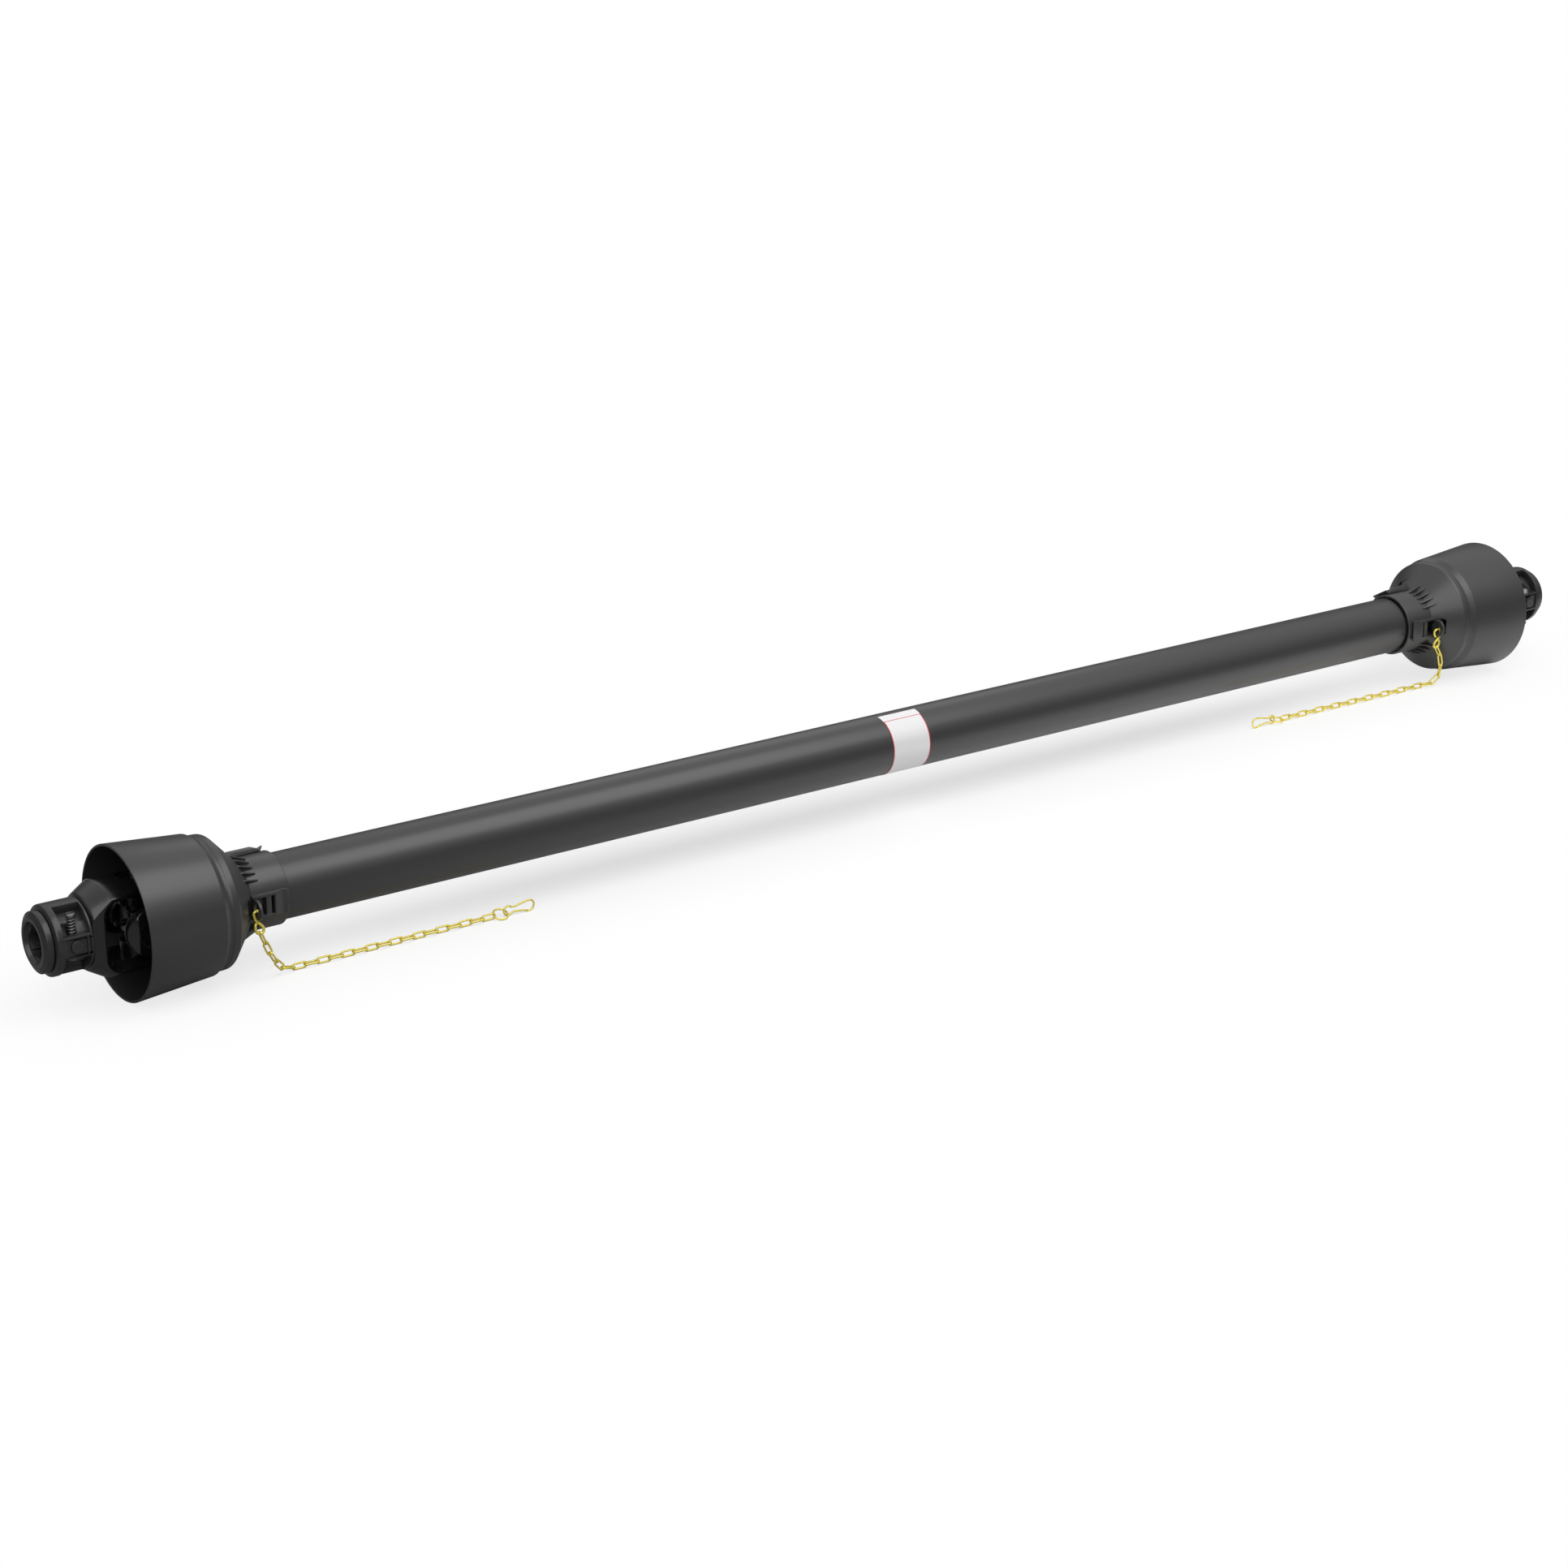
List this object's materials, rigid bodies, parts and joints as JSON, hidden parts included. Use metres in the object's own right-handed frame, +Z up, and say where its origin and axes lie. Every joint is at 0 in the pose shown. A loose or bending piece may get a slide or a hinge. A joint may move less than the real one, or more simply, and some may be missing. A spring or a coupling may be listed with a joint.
{
  "type": "pto drive shaft",
  "caption": "Telescoping drive shaft with a universal joint and quick-release splined yoke at each end, in a plastic guard with flared cones and safety chains.",
  "frame": {"origin": "on the floor under the middle of the shaft, at the bottom centre of the bounding box", "axes": "+X along the shaft from the end with the outer tubes to the other, +Z up, -Y the side with the safety chains"},
  "size_m": [2.004, 0.151, 0.1512],
  "materials": {
    "steel": "gloss black paint",
    "bright": "turned steel, lightly oiled",
    "plastic": "moulded, low sheen",
    "nylon": "smooth nylon",
    "gold": "yellow passivated zinc plate",
    "tube": "drawn and greased",
    "label": "plain label film"
  },
  "bodies": {
    "near_shield": {"shield_cone_a": "plastic", "shield_bearing_a": "nylon", "outer_shield_tube": "plastic", "label_band": "label"},
    "near_shaft": {"inner_yoke_a": "steel", "roll_pin_a": "bright", "bearing_cup_left_a": "bright", "circlip_left_a": "bright", "bearing_cup_right_a": "bright", "circlip_right_a": "bright", "outer_drive_tube": "tube"},
    "near_cross": {"cross_a": "bright", "grease_nipple_a": "bright"},
    "near_end_yoke": {"end_yoke_a": "steel", "lock_collar_a": "steel", "bearing_cup_top_a": "bright", "circlip_top_a": "bright", "bearing_cup_bottom_a": "bright", "circlip_bottom_a": "bright", "lock_spring_a": "bright"},
    "near_lock_pin": {"lock_pin_a": "bright"},
    "near_chain": {"s_hook_a": "gold", "chain_a": "gold"},
    "near_ring": {"ring_a": "gold"},
    "near_snap_hook": {"snap_hook_a": "gold"},
    "far_shield": {"shield_cone_b": "plastic", "shield_bearing_b": "nylon", "inner_shield_tube": "plastic"},
    "far_shaft": {"inner_yoke_b": "steel", "roll_pin_b": "bright", "bearing_cup_left_b": "bright", "circlip_left_b": "bright", "bearing_cup_right_b": "bright", "circlip_right_b": "bright", "inner_drive_tube": "tube"},
    "far_cross": {"cross_b": "bright", "grease_nipple_b": "bright"},
    "far_end_yoke": {"end_yoke_b": "steel", "lock_collar_b": "steel", "bearing_cup_top_b": "bright", "circlip_top_b": "bright", "bearing_cup_bottom_b": "bright", "circlip_bottom_b": "bright", "lock_spring_b": "bright"},
    "far_lock_pin": {"lock_pin_b": "bright"},
    "far_chain": {"s_hook_b": "gold", "chain_b": "gold"},
    "far_ring": {"ring_b": "gold"},
    "far_snap_hook": {"snap_hook_b": "gold"}
  },
  "joints": [
    {"name": "shaft_turns_in_shield", "type": "hinge", "parent": "near_shield", "child": "near_shaft", "pos_m": [-0.8, 0, 0.07555], "axis": [1, 0, 0], "continuous": true},
    {"name": "telescope", "type": "slide", "parent": "near_shaft", "child": "far_shaft", "axis": [1, 0, 0], "range_m": [0, 0.54]},
    {"name": "far_shield_turns", "type": "hinge", "parent": "far_shaft", "child": "far_shield", "pos_m": [0.8, 0, 0.07555], "axis": [1, 0, 0], "continuous": true},
    {"name": "near_cross_hinge", "type": "hinge", "parent": "near_shaft", "child": "near_cross", "pos_m": [-0.9, 0, 0.07555], "axis": [0, 1, 0], "range_deg": [-30, 30]},
    {"name": "near_yoke_hinge", "type": "hinge", "parent": "near_cross", "child": "near_end_yoke", "pos_m": [-0.9, 0, 0.07555], "axis": [0, 0, 1], "range_deg": [-30, 30]},
    {"name": "near_lock_pin_slide", "type": "slide", "parent": "near_end_yoke", "child": "near_lock_pin", "axis": [0, 0, -1], "range_m": [0, 0.006], "stiffness_N_per_m": 1500, "springref_m": -0.004, "deforming": ["lock_spring_a"]},
    {"name": "near_chain_swing", "type": "hinge", "parent": "near_shield", "child": "near_chain", "pos_m": [-0.7995, -0.046, 0.07555], "axis": [1, 0, 0], "range_deg": [-80, 6]},
    {"name": "near_ring_swing", "type": "hinge", "parent": "near_chain", "child": "near_ring", "pos_m": [-0.53051, -0.03266, 0.0042], "axis": [0, 1, 0], "range_deg": [-60, 0]},
    {"name": "near_snap_hook_swing", "type": "hinge", "parent": "near_ring", "child": "near_snap_hook", "pos_m": [-0.51551, -0.03266, 0.0042], "axis": [0, 1, 0], "range_deg": [-60, 0]},
    {"name": "far_cross_hinge", "type": "hinge", "parent": "far_shaft", "child": "far_cross", "pos_m": [0.9, 0, 0.07555], "axis": [0, 1, 0], "range_deg": [-30, 30]},
    {"name": "far_yoke_hinge", "type": "hinge", "parent": "far_cross", "child": "far_end_yoke", "pos_m": [0.9, 0, 0.07555], "axis": [0, 0, 1], "range_deg": [-30, 30]},
    {"name": "far_lock_pin_slide", "type": "slide", "parent": "far_end_yoke", "child": "far_lock_pin", "axis": [0, 0, 1], "range_m": [0, 0.006], "stiffness_N_per_m": 1500, "springref_m": -0.004, "deforming": ["lock_spring_b"]},
    {"name": "far_chain_swing", "type": "hinge", "parent": "far_shield", "child": "far_chain", "pos_m": [0.7995, -0.046, 0.07555], "axis": [1, 0, 0], "range_deg": [-80, 6]},
    {"name": "far_ring_swing", "type": "hinge", "parent": "far_chain", "child": "far_ring", "pos_m": [0.55092, -0.03344, 0.0042], "axis": [0, 1, 0], "range_deg": [0, 60]},
    {"name": "far_snap_hook_swing", "type": "hinge", "parent": "far_ring", "child": "far_snap_hook", "pos_m": [0.53592, -0.03344, 0.0042], "axis": [0, 1, 0], "range_deg": [0, 60]}
  ]
}
